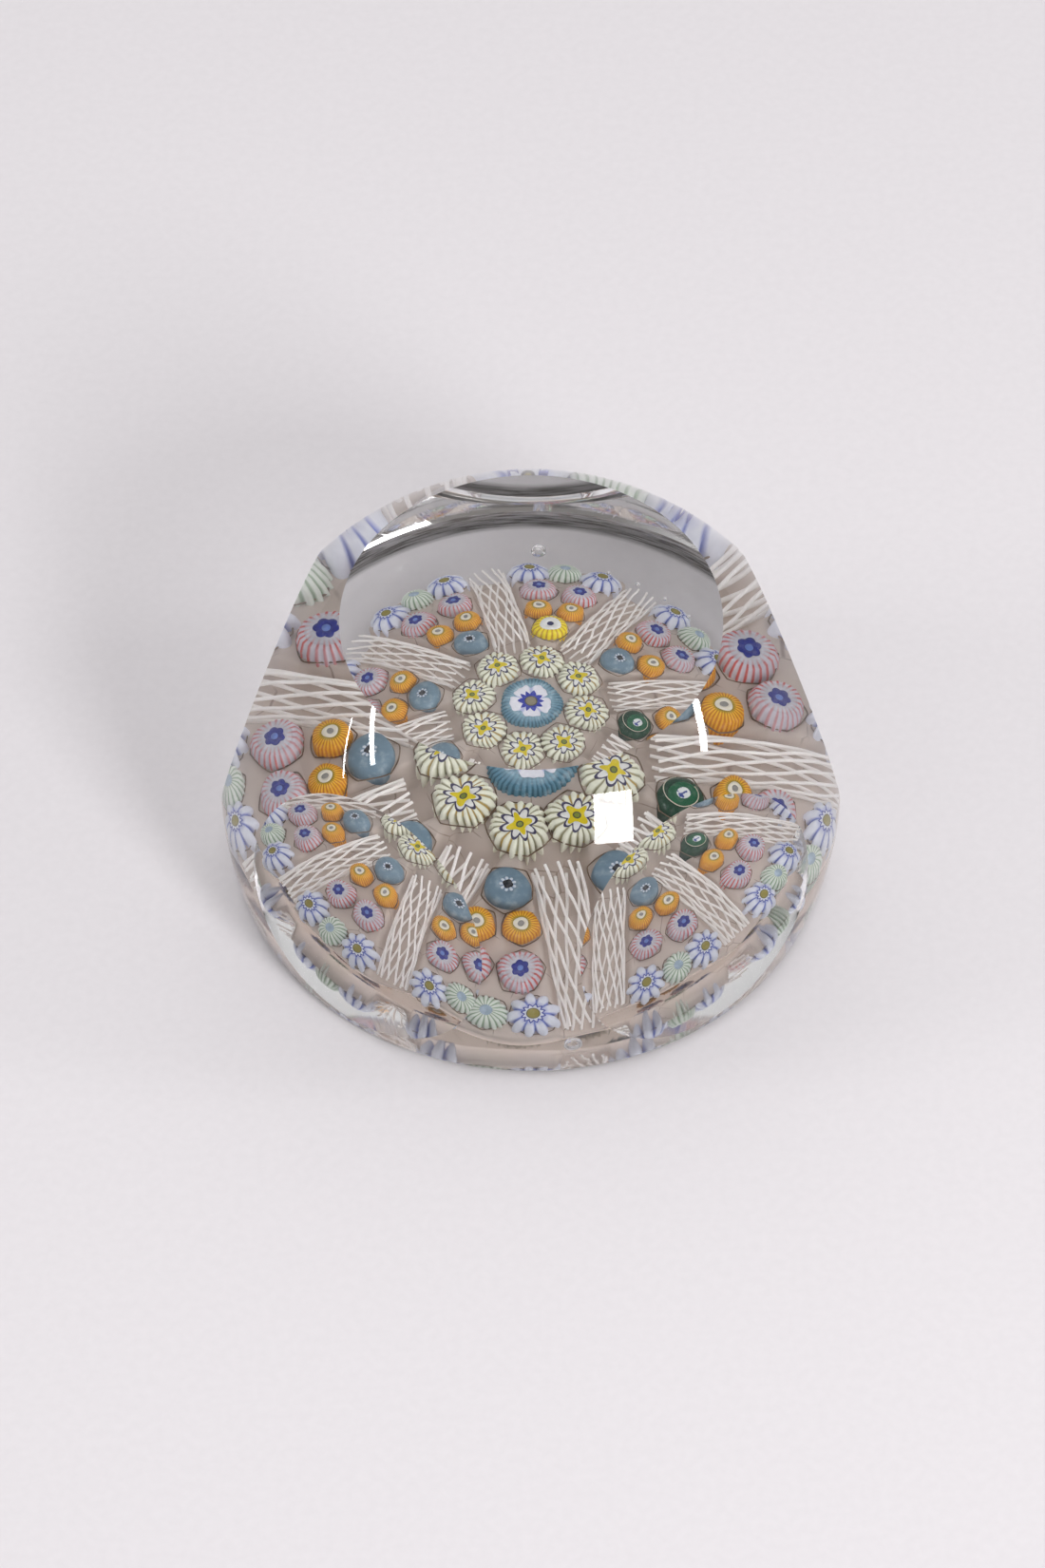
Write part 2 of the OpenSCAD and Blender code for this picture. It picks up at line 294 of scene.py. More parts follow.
for normal, depth in facets:
    rim = cut(ball_centre + normal * depth, normal)
    bmesh.ops.contextual_create(form, geom=rim)["faces"][0][kind] = flat_face
rim = cut(Vector((0, 0, foot_h)), Vector((0, 0, -1)))
grown = bmesh.ops.extrude_edge_only(form, edges=rim)["geom"]
for v in [g for g in grown if isinstance(g, bmesh.types.BMVert)]:
    away = v.co.xy.normalized() * foot_r
    v.co = (away.x, away.y, 0)
foot_edges = [g for g in grown if isinstance(g, bmesh.types.BMEdge)
              and all(abs(v.co.z) < 1e-7 for v in g.verts)]
for face in [g for g in grown if isinstance(g, bmesh.types.BMFace)]:
    face[kind] = chamfer_face
bmesh.ops.contextual_create(form, geom=foot_edges)["faces"][0][kind] = flat_face
bmesh.ops.recalc_face_normals(form, faces=form.faces[:])


bubble_spots = []


def bubble_normal(co):
    """Points from a bubble's skin into the air in it."""
    return (min(bubble_spots, key=lambda spot: (spot - co).length) - co).normalized()


def air_bubble(tilt, turn, diameter):
    """A hollow in the glass just above the canes; its faces look into the air in it."""
    t, a = radians(tilt), radians(turn)
    reach = seam_r + diameter / 2 + bubble_gap
    spot = Vector((reach * sin(t) * cos(a), reach * sin(t) * sin(a),
                   dome_z + reach * cos(t)))
    bubble_spots.append(spot)
    made = bmesh.ops.create_uvsphere(form, u_segments=32, v_segments=20,
                                     radius=diameter / 2, matrix=Matrix.Translation(spot))
    skin = {f for v in made["verts"] for f in v.link_faces}
    bmesh.ops.recalc_face_normals(form, faces=list(skin))
    bmesh.ops.reverse_faces(form, faces=list(skin))
    for face in skin:
        face[kind] = bubble_face


for tilt, turn, diameter in large_bubbles:
    air_bubble(tilt, turn, diameter)
for i in range(pin_bubbles):
    air_bubble(pin_tilt, pin_turn + pin_step * i, pin_d)

for face in form.faces:
    face.smooth = face[kind] != flat_face
crystal_mesh = bpy.data.meshes.new("crystal_ball")
form.to_mesh(crystal_mesh)
form.free()
# the ball's polish is exact: every corner's normal comes from the ball itself
kind_of = [a.value for a in crystal_mesh.attributes["kind"].data]
normals = []
for face in crystal_mesh.polygons:
    for corner in face.vertices:
        co = crystal_mesh.vertices[corner].co
        if kind_of[face.index] == round_face:
            normals.append((co - ball_centre).normalized())
        elif kind_of[face.index] == chamfer_face:
            away = co.xy.normalized()
            normals.append(Vector((away.x, away.y, -1)).normalized())
        elif kind_of[face.index] == bubble_face:
            normals.append(bubble_normal(co))
        else:
            normals.append(face.normal.copy())
crystal_mesh.attributes.remove(crystal_mesh.attributes["kind"])
crystal_mesh.normals_split_custom_set(normals)

# the band of the base rim that is tinted dark, partly wear and partly painted contact shadow
dark_rim_inner, dark_rim_outer = 32.1 * mm, 32.9 * mm
dark_rim_top, dark_rim_end = 0.7 * mm, 0.75 * mm
rim_shadow_and_scuff_grey = (0.035, 0.026, 0.020, 1)
crystal_glass, board = finish("clear_crystal_glass")
place = board.add("ShaderNodeTexCoord", out="Object")
height = board.add("ShaderNodeSeparateXYZ", None, {0: place}, out=2)
on_base = 1 - height.above(0.02 * mm, 0.06 * mm)


def scratches(turn, scale, thinness):
    """Fine straight lines across the base, one way, broken up by noise."""
    turned = board.add("ShaderNodeMapping", None,
                       {"Vector": place, "Rotation": (0, 0, turn),
                        "Scale": (scale, scale / 40, scale)})
    lines = board.add("ShaderNodeTexNoise", None,
                      {"Vector": turned, "Scale": 1.0, "Detail": 1.0})
    return lines.above(0.5 + thinness, 0.62 + thinness)


wear = (scratches(0.4, 1500.0, 0.1) + scratches(2.1, 1300.0, 0.1)
        + scratches(1.2, 1700.0, 0.12))
# the rim that the weight stands on is tinted a streaky brownish grey: partly wear, partly a
# painted contact shadow of the tabletop seen through it
from_axis = board.add("ShaderNodeVectorMath", {"operation": "LENGTH"}, {
    0: board.add("ShaderNodeVectorMath", {"operation": "MULTIPLY"},
                 {0: place, 1: (1, 1, 0)})}, out="Value")
east, north = [board.add("ShaderNodeSeparateXYZ", None, {0: place}, out=i) for i in (0, 1)]
heading = north.math("ARCTAN2", north, east)
round_streaks = board.add("ShaderNodeTexNoise", None, {
    "Vector": board.add("ShaderNodeCombineXYZ", None,
                        {"X": from_axis * 5200.0, "Y": heading * 7.0}),
    "Scale": 1.0, "Detail": 3.0})
rim_shadow_and_scuff = (from_axis.above(dark_rim_inner, dark_rim_outer) * (1 - height.above(dark_rim_top, dark_rim_end))
           * (0.72 + 0.28 * round_streaks.above(0.4, 0.6)))
surface(board, Base_Color=board.mix(rim_shadow_and_scuff, (1, 1, 1, 1), rim_shadow_and_scuff_grey),
        Transmission_Weight=1.0, Roughness=on_base * 0.04, IOR=1.52,
        Normal=board.bump(wear * on_base, 0.004 * mm, 0.6))
piece("crystal_ball", crystal_mesh, crystal_glass, stands_for=("clear_dome",))


# ---- The smoky ground ----
# The canes were set in a thick pad of smoky, pinkish grey glass on the first
# gather. It lies a little below their tops, dips under the lattice rods, stops
# just outside the last row, and reaches down to the feet of the canes.

panels = 8
step = 360 / panels
first_turn = 80.0
cane_len = 4.2 * mm
foot_show = 0.16 * mm
rod_depth = 3.4 * mm
ground_edge, ground_turns, ground_steps = 41.6, 384, 72
pad_depth, pad_sink, pad_sink_tilt = 0.85, 0.55, 38
# the pad's edge wanders: waves round it, their height in degrees and their start
edge_waves = ((7, 0.8, 0), (11, 0.5, 1))
groove_half, groove_blend = 3.0 * mm, 1.0 * mm
groove_from, groove_rise = 11, 4
ripple = 0.03 * mm


def outward(mesh):
    """Turns every face of a closed mesh outwards and shades it smooth."""
    shape = bmesh.new()
    shape.from_mesh(mesh)
    bmesh.ops.recalc_face_normals(shape, faces=shape.faces[:])
    shape.to_mesh(mesh)
    shape.free()
    mesh.shade_smooth()


def smooth(x):
    """Soft rise from 0 to 1."""
    x = np.clip(x, 0, 1)
    return x * x * (3 - 2 * x)


def ground_depth(tilt):
    """Depth of the pad's top below the dome, for a tilt in degrees from the axis."""
    return (pad_depth + pad_sink * smooth(tilt / pad_sink_tilt)) * mm


turns, shares = np.meshgrid(np.linspace(0, 2 * pi, ground_turns, endpoint=False),
                            np.linspace(0.002, 1, ground_steps), indexing="ij")
edge_tilt = ground_edge + 0 * turns
for count, swing, start in edge_waves:
    edge_tilt = edge_tilt + swing * np.sin(count * turns + start)
tilts = np.radians(edge_tilt) * shares
to_rod = (turns - radians(first_turn)) % radians(step) - radians(step / 2)
lying = ground_depth(np.degrees(tilts))
beside = abs((dome_r - lying) * np.sin(tilts) * np.sin(to_rod))
dip = ((rod_depth - lying) * smooth((groove_half - beside) / groove_blend)
       * smooth((np.degrees(tilts) - groove_from) / groove_rise))
heads = lying + dip + ripple * np.sin(9 * turns + 8 * shares)
feet = cane_len - foot_show + 0 * heads
points, faces = [], []
for depths in (heads, feet):
    reach = dome_r - depths
    points += list(zip((reach * np.sin(tilts) * np.cos(turns)).ravel(),
                       (reach * np.sin(tilts) * np.sin(turns)).ravel(),
                       (dome_z + reach * np.cos(tilts)).ravel()))
low = ground_turns * ground_steps
for i in range(ground_turns):
    here, there = i * ground_steps, (i + 1) % ground_turns * ground_steps
    for j in range(ground_steps - 1):
        for side in (0, low):
            faces.append((side + here + j, side + here + j + 1, side + there + j + 1,
                          side + there + j))
    faces.append((here + ground_steps - 1, low + here + ground_steps - 1,
                  low + there + ground_steps - 1, there + ground_steps - 1))
for side in (0, low):
    points.append((0, 0, points[side][2]))
    faces += [(side + i * ground_steps, side + (i + 1) % ground_turns * ground_steps,
               len(points) - 1) for i in range(ground_turns)]
ground_mesh = bpy.data.meshes.new("smoky_ground")
ground_mesh.from_pydata(points, [], faces)
outward(ground_mesh)
ground_mesh.attributes.new("under", "FLOAT", "POINT").data.foreach_set(
    "value", np.repeat([0.0, 1.0, 0.0, 1.0], [low, low, 1, 1]).astype(np.float32))

ground_glass, board = finish("smoky_ground_glass")
clouds = board.noise(160.0, 3.0)
off_axis = board.add("ShaderNodeVectorMath", {"operation": "LENGTH"},
                     {0: board.add("ShaderNodeTexCoord", out="Object")}, out="Value")
# painted shade: the pad is darker near the middle, where the canes shade it most, and lighter
# towards the rim
colour = board.mix(off_axis.above(9 * mm, 24 * mm), tint(184, 170, 161), tint(210, 195, 186))
colour = board.mix(clouds.above(0.35, 0.65) * 0.25, colour, tint(236, 224, 216))
cell = board.add("ShaderNodeTexVoronoi", {"feature": "DISTANCE_TO_EDGE"},
                 {"Vector": board.add("ShaderNodeTexCoord", out="Object"), "Scale": 210.0})
hairline = (1 - cell.above(0.004, 0.014)) * board.noise(300.0).above(0.48, 0.58)
colour = board.mix(hairline * 0.55, colour, tint(110, 88, 72))
# painted light: the underside glows faintly, standing in for light that comes down through the
# smoky glass
painted_underglow = board.mix(board.attribute("under").above(0.2, 0.9), (0, 0, 0, 1), colour)
surface(board, Base_Color=colour, Roughness=0.6, Specular_IOR_Level=0.1, Alpha=0.85,
        Emission_Color=painted_underglow, Emission_Strength=0.50, Normal=board.bump(clouds, 0.1 * mm, 0.4))
piece("smoky_ground", ground_mesh, ground_glass, stands_for=("ground_gather",))


# ---- The middle cane ----
# A thick bundle of coloured glass drawn out and cut short: a smoky core, a
# royal blue star, a white cog with slits, and a teal coat whose fibres fray
# at the rim. It stands upright on the ground glass, at the top of the dome.

class CaneForm:
    """The form that a cane's layers share. Its top is domed, and its side bulges by the
    flare below the top and draws in again towards the foot."""

    def __init__(self, diameter, steps, crown, flare, power=4.0):
        self.r, self.crown, self.flare, self.power = diameter / 2, crown, flare, power
        self.angle = np.linspace(0, 2 * pi, steps, endpoint=False)

    def layer(self, name, outer, inner=None, ridge=None, relief=0.0, deepen=0.0,
              top_steps=5, wall_steps=7):
        """A closed layer between two outlines, each a share of the cane's radius for
        every angle. Ridge is 1 on a rib and 0 in a groove, relief the ribs' height
        on top, and deepen how far the grooves are cut by the foot."""
        a = self.angle
        out = outer + 0 * a
        ridge = np.ones_like(a) if ridge is None else ridge
        start = inner + 0 * a if inner is not None else out * 0.2

        def dome(share):
            return self.crown * share ** self.power

        def wide(t):
            return 1 + self.flare * sin(pi * t ** 0.7) - 0.1 * t

        rings = []
        if inner is not None:
            for t in (1.0, 0.5):
                rings.append((start * wide(t), dome(start) * (1 - t) + cane_len * t, t))
        for f in np.linspace(0, 1, top_steps):
            share = start + (out - start) * f
            rings.append((share, dome(share) + relief * f * (0.5 - ridge), 0.0))
        for t in np.linspace(0, 1, wall_steps)[1:]:
            share = out * wide(t) - deepen * min(1, 2 * t) * (1 - ridge)
            z = (dome(out) + relief * (0.5 - ridge)) * (1 - t) + cane_len * t
            rings.append((share, z, t))
        n, count = len(a), len(rings)
        points, ribs, downs, outs = [], [], [], []
        for share, z, t in rings:
            points += list(zip(self.r * share * np.cos(a), self.r * share * np.sin(a), -z))
            ribs += list(ridge)
            downs += [t] * n
            outs += list(share)
        faces = []
        for k in range(count if inner is not None else count - 1):
            m = (k + 1) % count
            faces += [(k * n + i, k * n + (i + 1) % n, m * n + (i + 1) % n, m * n + i)
                      for i in range(n)]
        if inner is None:
            top, foot = len(points), len(points) + 1
            points += [(0, 0, 0), (0, 0, -cane_len)]
            ribs += [1, 1]
            downs += [0, 1]
            outs += [0, 0]
            faces += [(top, (i + 1) % n, i) for i in range(n)]
            low = (count - 1) * n
            faces += [(foot, low + i, low + (i + 1) % n) for i in range(n)]
        mesh = bpy.data.meshes.new(name)
        mesh.from_pydata([tuple(p) for p in points], [], faces)
        for key, values in (("rib", ribs), ("down", downs), ("out", outs)):
            mesh.attributes.new(key, "FLOAT", "POINT").data.foreach_set(
                "value", np.array(values, np.float32))
        outward(mesh)
        return mesh


def wave(angle, count, low, high, power=1.0):
    """Outline that swings softly between low and high, count times round."""
    return low + (high - low) * (0.5 + 0.5 * np.cos(count * angle)) ** power


def zigzag(angle, count, low, high):
    """Outline of count sharp points, the first at angle 0."""
    return low + (high - low) * abs((count * angle / pi) % 2 - 1)


def shape_tree(name, takes, gives):
    """A new shape tree. Gives it, its board and the wires of its named inputs."""
    tree = bpy.data.node_groups.new(name, "GeometryNodeTree")
    for label, sort in takes:
        tree.interface.new_socket(label, in_out="INPUT", socket_type="NodeSocket" + sort)
    tree.interface.new_socket(gives, in_out="OUTPUT", socket_type="NodeSocketGeometry")
    board = Board(tree)
    given = tree.nodes.new("NodeGroupInput")
    return tree, board, {s.name: Wire(board, s) for s in given.outputs if s.name}


# this tree stands copies of a layer on the dome and lets the furnace's flow
# bend them a little
standing, board, of = shape_tree("stand_on_dome", (
    ("Places", "Geometry"), ("Layer", "Object"), ("Flow", "Float"), ("Flow Scale", "Float"),
    ("Glass", "Material")), "Canes")
lean = board.add("GeometryNodeInputNamedAttribute", {"data_type": "FLOAT_VECTOR"},
                 {"Name": "lean"})
spin = board.add("GeometryNodeInputNamedAttribute", {"data_type": "FLOAT"},
                 {"Name": "spin"})
own_turn = board.add("FunctionNodeEulerToRotation", None,
                     {0: board.add("ShaderNodeCombineXYZ", None, {"Z": spin})})
stand_up = board.add("FunctionNodeRotateRotation", {"rotation_space": "LOCAL"},
                     {0: board.add("FunctionNodeEulerToRotation", None, {0: lean}),
                      1: own_turn})
copies = board.add("GeometryNodeInstanceOnPoints", None,
                   {"Points": of["Places"],
                    "Instance": board.add("GeometryNodeObjectInfo", None,
                                          {"Object": of["Layer"]}, out="Geometry"),
                    "Rotation": stand_up})
real = board.add("GeometryNodeRealizeInstances", None, {0: copies})
flow = board.add("ShaderNodeTexNoise", {"noise_dimensions": "3D"},
                 {"Vector": board.add("GeometryNodeInputPosition"),
                  "Scale": of["Flow Scale"], "Detail": 1.0}, out=1)
push = board.add("ShaderNodeVectorMath", {"operation": "SUBTRACT"},
                 {0: flow, 1: (0.5, 0.5, 0.5)})
push = board.add("ShaderNodeVectorMath", {"operation": "SCALE"},
                 {0: push, "Scale": of["Flow"]})
bent = board.add("GeometryNodeSetPosition", None, {"Geometry": real, "Offset": push})
glassed = board.add("GeometryNodeSetMaterial", None,
                    {"Geometry": bent, "Material": of["Glass"]})
board.add("NodeGroupOutput", None, {0: glassed})


def run_tree(name, mesh, tree, values):
    """Runs a shape tree on a mesh once and gives the plain mesh that it makes."""
    holder = bpy.data.objects.new(name + "_shaping", mesh)
    bpy.context.scene.collection.objects.link(holder)
    steps = holder.modifiers.new("shape", "NODES")
    steps.node_group = tree
    sockets = {s.name: s.identifier for s in tree.interface.items_tree
               if s.in_out == "INPUT"}
    for label, value in values.items():
        steps[sockets[label]] = value
    depsgraph = bpy.context.evaluated_depsgraph_get()
    made = bpy.data.meshes.new_from_object(holder.evaluated_get(depsgraph))
    made.name = name
    holder.modifiers.clear()
    bpy.data.objects.remove(holder)
    return made


flow_scale = 330.0


def stand(name, layer, spots, glass, slot, nodes, flow=0.40 * mm):
    """Stands a copy of a layer at each spot on the dome, as one piece."""
    places = bpy.data.meshes.new(name + "_places")
    leans, spins, points = [], [], []
    for row, turn, own in spots:
        tilt = asin(row / dome_r)
        points.append((row * cos(radians(turn)), row * sin(radians(turn)),
                       dome_z + dome_r * cos(tilt)))
        leans += [0.0, tilt, radians(turn)]
        spins.append(radians(own))
    places.from_pydata(points, [], [])
    places.attributes.new("lean", "FLOAT_VECTOR", "POINT").data.foreach_set(
        "vector", leans)
    places.attributes.new("spin", "FLOAT", "POINT").data.foreach_set("value", spins)
    pattern = bpy.data.objects.new(name + "_pattern", layer)
    bpy.context.scene.collection.objects.link(pattern)
    mesh = run_tree(name, places, standing,
                    {"Layer": pattern, "Flow": flow, "Flow Scale": flow_scale,
                     "Glass": glass})
    bpy.data.objects.remove(pattern)
    return piece(name, mesh, glass, stands_for=nodes)


def cane_glass(name, ridge, groove=None, deep=None, cloud=0.10, cloud_scale=1400.0,
               groove_at=(0.15, 0.6), rough=0.4, paint_over=None):
    """Opaque glass: groove colour between the ribs, ridge colour on them, deep colour
    towards the foot, and faint clouds all through it."""
    material, board = finish(name)
    colour = ridge
    if groove:
        colour = board.mix(board.attribute("rib").above(*groove_at), groove, ridge)
    if deep:
        colour = board.mix(board.attribute("down").above(0.0, 0.8), colour, deep)
    if paint_over:
        colour = paint_over(board, colour)
    clouds = board.noise(cloud_scale, 3.0, 0.6)
    darker = board.mix((1 - clouds).above(0.35, 0.75) * cloud, colour, (0.02, 0.02, 0.03, 1))
    lighter = board.mix(clouds.above(0.5, 0.8) * cloud, darker, (1, 1, 1, 1))
    surface(board, Base_Color=lighter, Roughness=rough, Specular_IOR_Level=0.15,
            Normal=board.bump(clouds, 0.03 * mm, 0.4))
    return material


centre_spot = [(0.0, 0.0, 0.0)]
middle_core = 0.20
# direction and width, in degrees, of the slits in the white cog
slits = ((18, 5), (88, 9), (160, 5), (232, 11), (305, 6))
middle = CaneForm(7.1 * mm, 280, crown=0.38 * mm, flare=0.10)
a = middle.angle
fray = wave(a + 0.04 * np.sin(5 * a), 46, 0.0, 1.0)
coat = 0.93 + 0.03 * np.cos(3 * a + 1) + 0.02 * np.cos(5 * a) + 0.035 * fray
slit = np.ones_like(a)
for slit_turn, slit_width in slits:
    off = (np.degrees(a) - slit_turn + 180) % 360 - 180
    slit *= 1 - np.exp(-(off / slit_width) ** 2)
cog_line = 0.50 + 0.17 * slit + 0.035 * np.cos(3 * a + 2) + 0.012 * np.cos(17 * a)
star_line = zigzag(a + 0.10 * np.sin(3 * a), 10, 0.28, 0.44)


def milky_inside(board, colour):
    """The teal is milky beside the cog and deeper towards the rim."""
    return board.mix((1 - board.attribute("out").above(0.68, 0.88)) * 0.5, colour,
                     tint(172, 204, 222))


teal_glass = cane_glass("teal_glass", tint(100, 146, 168), tint(66, 108, 128),
                        deep=tint(52, 88, 98), cloud=0.25, paint_over=milky_inside)
stand("centre_casing", middle.layer("coat", coat, cog_line, fray, 0.05 * mm),
      centre_spot, teal_glass, "teal_glass", ("centre_casing",))
cog_glass = cane_glass("cog_white_glass", tint(238, 238, 248), tint(190, 196, 232),
                       groove_at=(0.1, 0.7))
stand("centre_white_cog", middle.layer("cog", cog_line, star_line, slit),
      centre_spot, cog_glass, "opal_white_glass", ("centre_white_cog",))
star_glass = cane_glass("star_blue_glass", tint(36, 52, 170), tint(30, 44, 150))
stand("centre_blue_cog", middle.layer("star", star_line, middle_core),
      centre_spot, star_glass, "royal_blue_glass", ("centre_blue_cog",))


def olive_rim(board, colour):
    """Dark olive line round the rim of the core."""
    edge = board.attribute("out").above(0.15, 0.18)
    return board.mix(edge, colour, tint(84, 78, 44))


core_glass = cane_glass("smoky_core_glass", tint(140, 132, 112), paint_over=olive_rim)
stand("centre_core", middle.layer("core", middle_core), centre_spot, core_glass,
      "taupe_glass", ("centre_core",))


# ---- The ring of ruffled canes ----
# Eight canes stand in a ring. Each has some twenty thick cream ribs with ochre
# in the folds, which splay towards the foot, round a dark zigzag line, a white
# star and a yellow heart with a green eye.

drift_len, drift_step, salt_step = 0.15 * mm, 137.5, 71
own_turn_step = 77.0
ring_row, ring_d, ring_flow = 6.7 * mm, 4.6 * mm, 0.65 * mm


def drift(k, salt):
    """A cane's small settling off its true place, the same on every run."""
    return drift_len * sin(radians(k * drift_step + salt * salt_step))


def row_spots(row, turns, salt):
    """Places of one row of canes: distance from the axis, direction and own turn."""
    spots = []
    for p in range(panels):
        for i, turn in enumerate(turns):
            k = p * len(turns) + i + salt
            spots.append((row + drift(k, 1),
                          first_turn + p * step + turn + degrees(drift(k, 2) / row),
                          k * own_turn_step))
    return spots


ring_spots = row_spots(ring_row, [0], 1)
ring = CaneForm(ring_d, 264, crown=0.40 * mm, flare=0.24, power=3.0)
a = ring.angle
rib = wave(a + 0.07 * np.sin(3 * a), 20, 0.0, 1.0, 0.8)
edge = 0.87 + 0.08 * rib + 0.045 * np.cos(2 * a + 0.5) + 0.035 * np.cos(5 * a + 2)
swung = a + 0.12 * np.sin(2 * a)
lobes = wave(swung, 8, 0.0, 1.0, 0.7)
line = 0.45 + 0.26 * lobes + 0.02 * np.cos(3 * a)
star = line - 0.11
heart = 0.25 + 0.23 * wave(swung, 4, 0.0, 1.0) ** 2


def ochre_folds(board, colour):
    """Some of the folds between the ribs are filled with ochre glass."""
    fold = (1 - board.attribute("rib").above(0.05, 0.35)) * board.noise(420.0).above(0.5, 0.56)
    return board.mix(fold * 0.8, colour, tint(196, 160, 66))


# painted shade: the folds between the ribs are a darker greyish olive, for the shade that lies
# in them
rib_glass = cane_glass("cream_rib_glass", tint(244, 244, 226), tint(150, 146, 112),
                       groove_at=(0.04, 0.5), paint_over=ochre_folds)
stand("ring_ribs", ring.layer("ribs", edge, line, rib, 0.24 * mm, deepen=0.20, top_steps=6,
                              wall_steps=12),
      ring_spots, rib_glass, "cream_glass", ("ring_ribs",), flow=ring_flow)
line_glass = cane_glass("plum_line_glass", tint(70, 66, 96))
stand("ring_outlines", ring.layer("line", line, star, top_steps=2, wall_steps=3),
      ring_spots, line_glass, "plum_line_glass", ("ring_outlines",), flow=ring_flow)
white_glass = cane_glass("star_white_glass", tint(238, 238, 236))
stand("ring_stars", ring.layer("star", star, heart, top_steps=3, wall_steps=3),
      ring_spots, white_glass, "opal_white_glass", ("ring_stars",), flow=ring_flow)


def green_eye(board, colour):
    """A dark ring with a green middle at the heart of the cane."""
    share = board.attribute("out")
    ringed = board.mix(share.above(0.13, 0.15), tint(70, 74, 60), colour)
    return board.mix(share.above(0.085, 0.10), tint(126, 138, 50), ringed)


heart_glass = cane_glass("yellow_heart_glass", tint(226, 204, 30), paint_over=green_eye)
stand("ring_hearts", ring.layer("heart", heart, top_steps=7, wall_steps=3),
      ring_spots, heart_glass, "yellow_glass", ("ring_hearts",), flow=ring_flow)


# ---- The slate canes ----
# Six of the panels begin with a plain round cane of cloudy slate-blue glass,
# with a black middle in a small scalloped ring of white.

inner_row, inner_d = 12.5 * mm, 3.8 * mm
inner_spots = row_spots(inner_row, [0], 11)
yellow_panel, green_panel = 0, 6
slate_spots = [s for p, s in enumerate(inner_spots) if p not in (yellow_panel, green_panel)]
slate = CaneForm(inner_d, 144, crown=0.45 * mm, flare=0.10, power=3.0)
a = slate.angle
body = 0.97 + 0.035 * np.cos(2 * a) + 0.025 * np.cos(3 * a + 1)
scallop = wave(a, 9, 0.29, 0.37, 0.7)
pit = 0.21 + 0.02 * np.cos(4 * a)
slate_glass = cane_glass("slate_blue_glass", tint(118, 143, 160), deep=tint(74, 96, 112),
                         cloud=0.2, cloud_scale=900.0)
stand("slate_bodies", slate.layer("body", body, scallop), slate_spots, slate_glass,
      "slate_glass", ("slate_bodies",))
scallop_glass = cane_glass("scallop_glass", tint(214, 222, 232), tint(130, 150, 176))
stand("slate_rings", slate.layer("scallop", scallop, pit, wave(a, 9, 0, 1), top_steps=3,
                                 wall_steps=3),
      slate_spots, scallop_glass, "pale_blue_glass", ("slate_rings",))
black_glass = cane_glass("black_glass", tint(34, 36, 44))
stand("slate_cores", slate.layer("pit", pit, top_steps=3, wall_steps=3), slate_spots,
      black_glass, "black_glass", ("slate_cores",))


# ---- The yellow cane ----
# The panel at the back begins with a bright yellow ribbed cane. Its flat white
# disc carries a plain dark dot.

yellow_spot = [inner_spots[yellow_panel]]
dot_share = 0.2
yellow = CaneForm(inner_d, 216, crown=0.50 * mm, flare=0.12, power=5.0)
a = yellow.angle
rib = wave(a, 18, 0.0, 1.0, 0.8)
body = 0.97 + 0.05 * rib + 0.02 * np.cos(3 * a)
disc = 0.64 + 0.02 * np.cos(3 * a)
yellow_glass = cane_glass("yellow_rib_glass", tint(248, 226, 24), tint(206, 160, 8),
                          deep=tint(226, 178, 10))
stand("yellow_body", yellow.layer("body", body, disc, rib, 0.08 * mm, deepen=0.05),
      yellow_spot, yellow_glass, "yellow_glass", ("yellow_body",))
disc_glass = cane_glass("disc_white_glass", tint(242, 242, 240))
stand("yellow_disc", yellow.layer("disc", disc, dot_share, top_steps=3, wall_steps=3),
      yellow_spot, disc_glass, "opal_white_glass", ("yellow_disc",))
dot_glass = cane_glass("dot_blue_glass", tint(36, 40, 92))
stand("yellow_dot", yellow.layer("dot", dot_share, top_steps=3, wall_steps=3),
      yellow_spot, dot_glass, "navy_glass", ("yellow_dot",))


# ---- The green cane ----
# The panel at the right begins with a cane of deep bottle green. A brighter
# green cap with a white middle sits in it, and a thin cream thread of glass
# is wound round the cap.

green_spot = [inner_spots[green_panel]]
green_core = 0.30
green = CaneForm(inner_d, 144, crown=0.7 * mm, flare=0.08, power=3.0)
a = green.angle
body = 1.0 + 0.06 * np.cos(a) + 0.02 * np.cos(3 * a)
cap = 0.66 + 0.04 * np.cos(2 * a)
green_glass = cane_glass("bottle_green_glass", tint(6, 60, 38), deep=tint(4, 34, 22),
                         cloud=0.06, rough=0.2)
stand("green_body", green.layer("body", body, cap), green_spot, green_glass,
      "green_glass", ("green_body",))
cap_glass = cane_glass("emerald_glass", tint(10, 92, 58), cloud=0.08, rough=0.2)
stand("green_cap", green.layer("cap", cap, green_core), green_spot, cap_glass,
      "emerald_glass", ("green_cap",))


def blue_bits(board, colour):
    """A few small blue flecks in the white."""
    return board.mix(board.noise(2600.0, 1.0).above(0.56, 0.60), colour, tint(56, 76, 150))


fleck_glass = cane_glass("flecked_white_glass", tint(232, 236, 236), paint_over=blue_bits)
stand("green_core", green.layer("core", green_core), green_spot, fleck_glass,
      "opal_white_glass", ("green_core",))


def fine_line(name, path, radius, sides, closed=False):
    """A fine round line of glass. Its path gives the distance from the cane's axis, the
    turn in radians and the depth below the cane's top, point by point."""
    points, faces = [], []
    for away, turn, depth in path:
        for j in range(sides):
            u = 2 * pi * j / sides
            r = away + radius * cos(u)
            points.append((r * cos(turn), r * sin(turn), radius * sin(u) - depth))
    for i in range(len(path) if closed else len(path) - 1):
        here, there = i * sides, (i + 1) % len(path) * sides
        faces += [(here + j, here + (j + 1) % sides, there + (j + 1) % sides, there + j)
                  for j in range(sides)]
    if not closed:
        faces += [tuple(range(sides)),
                  tuple(range(len(points) - sides, len(points)))[::-1]]
    mesh = bpy.data.meshes.new(name)
    mesh.from_pydata(points, [], faces)
    outward(mesh)
    return mesh


coil_radius, coil_steps, coil_sides = 0.045 * mm, 90, 6
